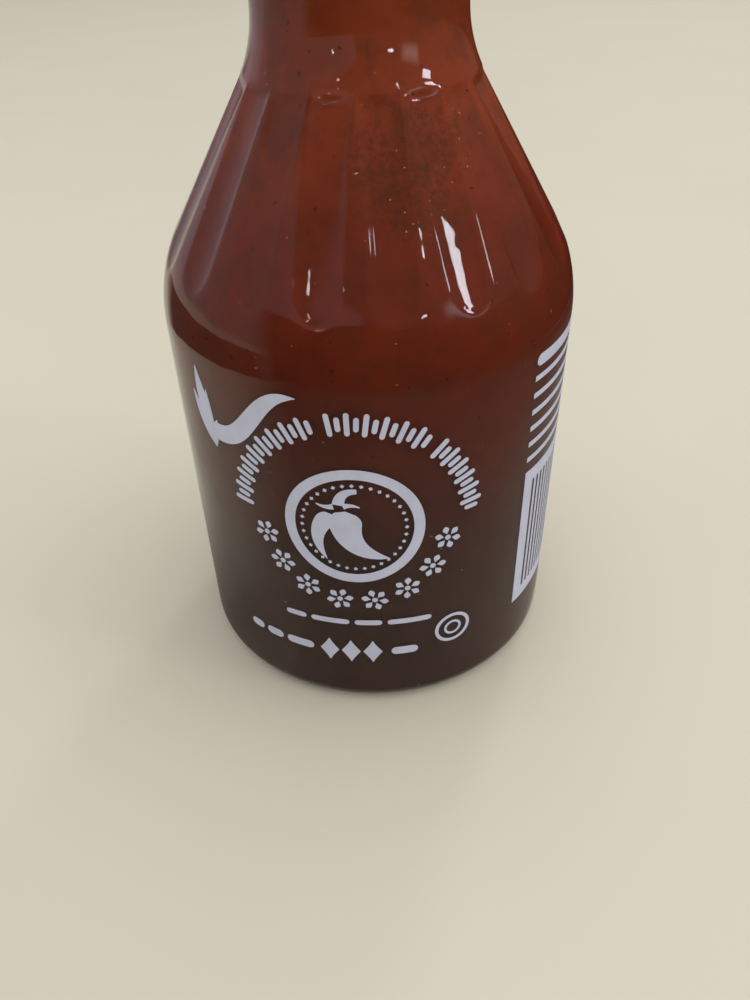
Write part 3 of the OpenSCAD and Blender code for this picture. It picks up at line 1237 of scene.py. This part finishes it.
class SAUCEBOTTLE_OT_stage(bpy.types.Operator):
    """Set the plain floor, the soft lamps and the camera"""

    bl_idname = "sauce_bottle.stage"
    bl_label = "Studio"

    def execute(self, context):
        scene = context.scene
        studio = scene.sauce_bottle_studio
        self.add_floor(scene)
        self.add_camera(scene, studio)
        self.add_surroundings(scene, studio)
        self.add_overhead(scene, studio)
        self.add_lamps(studio)
        self.add_cards()
        scene.view_settings.view_transform = "Standard"
        scene.view_settings.look = "None"
        return {"FINISHED"}

    def add_floor(self, scene):
        reach = 6.0
        drop = 0.05 * MM
        corners = [(x * reach, y * reach, -drop) for x, y in SQUARE]
        floor = add_piece("floor", corners, [(0, 1, 2, 3)])
        floor.data.materials.append(floor_finish(scene.sauce_bottle_colours))

    def add_camera(self, scene, studio):
        data = bpy.data.cameras.new("camera")
        data.lens = studio.lens
        data.sensor_width = 36
        data.clip_start = 0.01
        camera = bpy.data.objects.new("camera", data)
        tilt = Matrix.Rotation(math.pi / 2 - studio.camera_down, 4, "X")
        roll = Matrix.Rotation(studio.camera_roll, 4, "Z")
        place = Matrix.Translation((0, -studio.camera_back, studio.camera_z))
        camera.matrix_world = place @ tilt @ roll
        scene.collection.objects.link(camera)
        scene.camera = camera

    def add_surroundings(self, scene, studio):
        world = bpy.data.worlds.new("studio_air")
        world.use_nodes = True
        scene.world = world
        sheet = Sheet(world.node_tree)
        camera_ray = sheet.add("LightPath", {}, {}, "Is Camera Ray")
        diffuse_ray = sheet.add("LightPath", {}, {}, "Is Diffuse Ray")
        backdrop = (*scene.sauce_bottle_colours.backdrop, 1)
        pale = sheet.add("Background", {}, {0: backdrop, 1: studio.backdrop})
        soft = sheet.add("Background", {}, {0: (*SOFT_WHITE, 1), 1: studio.air})
        dim = sheet.add("Background", {}, {0: (*COOL_WHITE, 1), 1: studio.gloom})
        unseen = sheet.add("MixShader", {}, {0: diffuse_ray, 1: dim, 2: soft})
        sheet.add_output("OutputWorld", sheet.add("MixShader", {}, {0: camera_ray, 1: unseen, 2: pale}))

    def add_overhead(self, scene, studio):
        sun = bpy.data.lights.new("overhead", "SUN")
        sun.energy = studio.overhead
        sun.angle = math.radians(80)
        sun.color = SOFT_WHITE
        holder = bpy.data.objects.new("overhead", sun)
        holder.rotation_euler = (math.radians(-4), math.radians(8), 0)
        holder.visible_glossy = False
        scene.collection.objects.link(holder)

    def add_lamps(self, studio):
        # Each: azimuth, elevation, distance, width, height, radiance and tint.
        left = lamp("left_fill", -82, 25, 0.7, 0.5, 0.5, 0.5, COOL_WHITE)
        right = lamp("right_fill", 80, 42, 0.8, 0.5, 0.5, studio.fill, WARM_WHITE)
        left.visible_glossy = False
        right.visible_glossy = False
        lamp("right_window", 69, 28, 1.2, 0.15, 0.11, 17, (0.93, 0.93, 1.0))
        lamp("back_window", 155, 35, 1.2, 0.16, 0.24, 12, (0.95, 0.96, 1.0))
        lamp("right_spot", 29, 19, 0.9, 0.08, 0.035, 15, SPOT_WHITE, "ELLIPSE")
        lamp("high_spot", 37, 38, 1.2, 0.035, 0.035, 14, SPOT_WHITE, "ELLIPSE")
        lamp("left_spot", -28, 18, 0.5, 0.016, 0.02, 12, WARM_WHITE, "ELLIPSE")
        lamp("left_high_spot", -24, 36, 0.5, 0.016, 0.016, 12, WARM_WHITE, "ELLIPSE")

    def add_cards(self):
        # Each: azimuth, elevation, distance, width, height, radiance, tint and fade.
        softbox("left_wall", -62, 17, 0.6, 1.75, 0.6, 0.38, (0.92, 0.90, 1.0), 0.1)
        softbox("left_glow", -129, 12, 0.36, 0.34, 0.34, 0.58, (0.88, 0.84, 0.98), 0.12)
        softbox("right_patch", 51, 19, 1.0, 0.4, 0.26, 2.0, (1, 0.84, 0.90), 0.12)
        softbox("back_wall", 215, 22, 0.9, 0.6, 0.6, 0.6, (0.95, 0.96, 1.0), 0.2)
        # Painted shade: black cards, seen only in the gloss, for the table round the bottle where it
        # lies in shade.
        # Each: start and end azimuth, radius, height and density.
        flag("front_flag", -60, 30, 0.17, 0.11, 1.0)
        flag("right_flag", 2, 200, 0.171, 0.092, 1.0)
        flag("left_flag", -135, -45, 0.155, 0.04, 0.92)
        # Painted shade: gauzes that darken the bottle's reflection of the floor near its foot, where the
        # floor lies in shadow.
        # Each: start and end azimuth, inner and outer radius, and the density at each of them.
        shade_cloth("floor_shade_cloth", -75, 200, 0.03, 0.17, 0.35, 1.0)
        shade_cloth("left_shade_cloth", -190, -30, 0.028, 0.06, 0.6, 0.0)


# ---------------------------------------------------------------- panel and run

STEPS = (
    SAUCEBOTTLE_OT_stage,
    SAUCEBOTTLE_OT_sauce,
    SAUCEBOTTLE_OT_wall,
    SAUCEBOTTLE_OT_print,
    SAUCEBOTTLE_OT_cap,
    SAUCEBOTTLE_OT_tip,
)


class SAUCEBOTTLE_PT_panel(bpy.types.Panel):
    """Lists the bottle's sizes and colours and the pieces to build"""

    bl_idname = "SAUCEBOTTLE_PT_panel"
    bl_label = "Sauce Bottle"
    bl_space_type = "VIEW_3D"
    bl_region_type = "UI"
    bl_category = "Sauce Bottle"

    def draw(self, context):
        for group, kind in GROUPS.items():
            box = self.layout.box()
            for name in kind.__annotations__:
                box.prop(getattr(context.scene, group), name)
        for step in STEPS:
            self.layout.operator(step.bl_idname)


def register():
    for kind in (*GROUPS.values(), *STEPS, SAUCEBOTTLE_PT_panel):
        bpy.utils.register_class(kind)
    for group, kind in GROUPS.items():
        setattr(bpy.types.Scene, group, PointerProperty(type=kind))


def unregister():
    for group in GROUPS:
        delattr(bpy.types.Scene, group)
    for kind in (SAUCEBOTTLE_PT_panel, *STEPS[::-1], *GROUPS.values()):
        bpy.utils.unregister_class(kind)


def main():
    register()
    bpy.ops.sauce_bottle.stage()
    bpy.ops.sauce_bottle.sauce()
    bpy.ops.sauce_bottle.wall()
    bpy.ops.sauce_bottle.print()
    bpy.ops.sauce_bottle.cap()
    bpy.ops.sauce_bottle.tip()


if __name__ == "__main__":
    main()
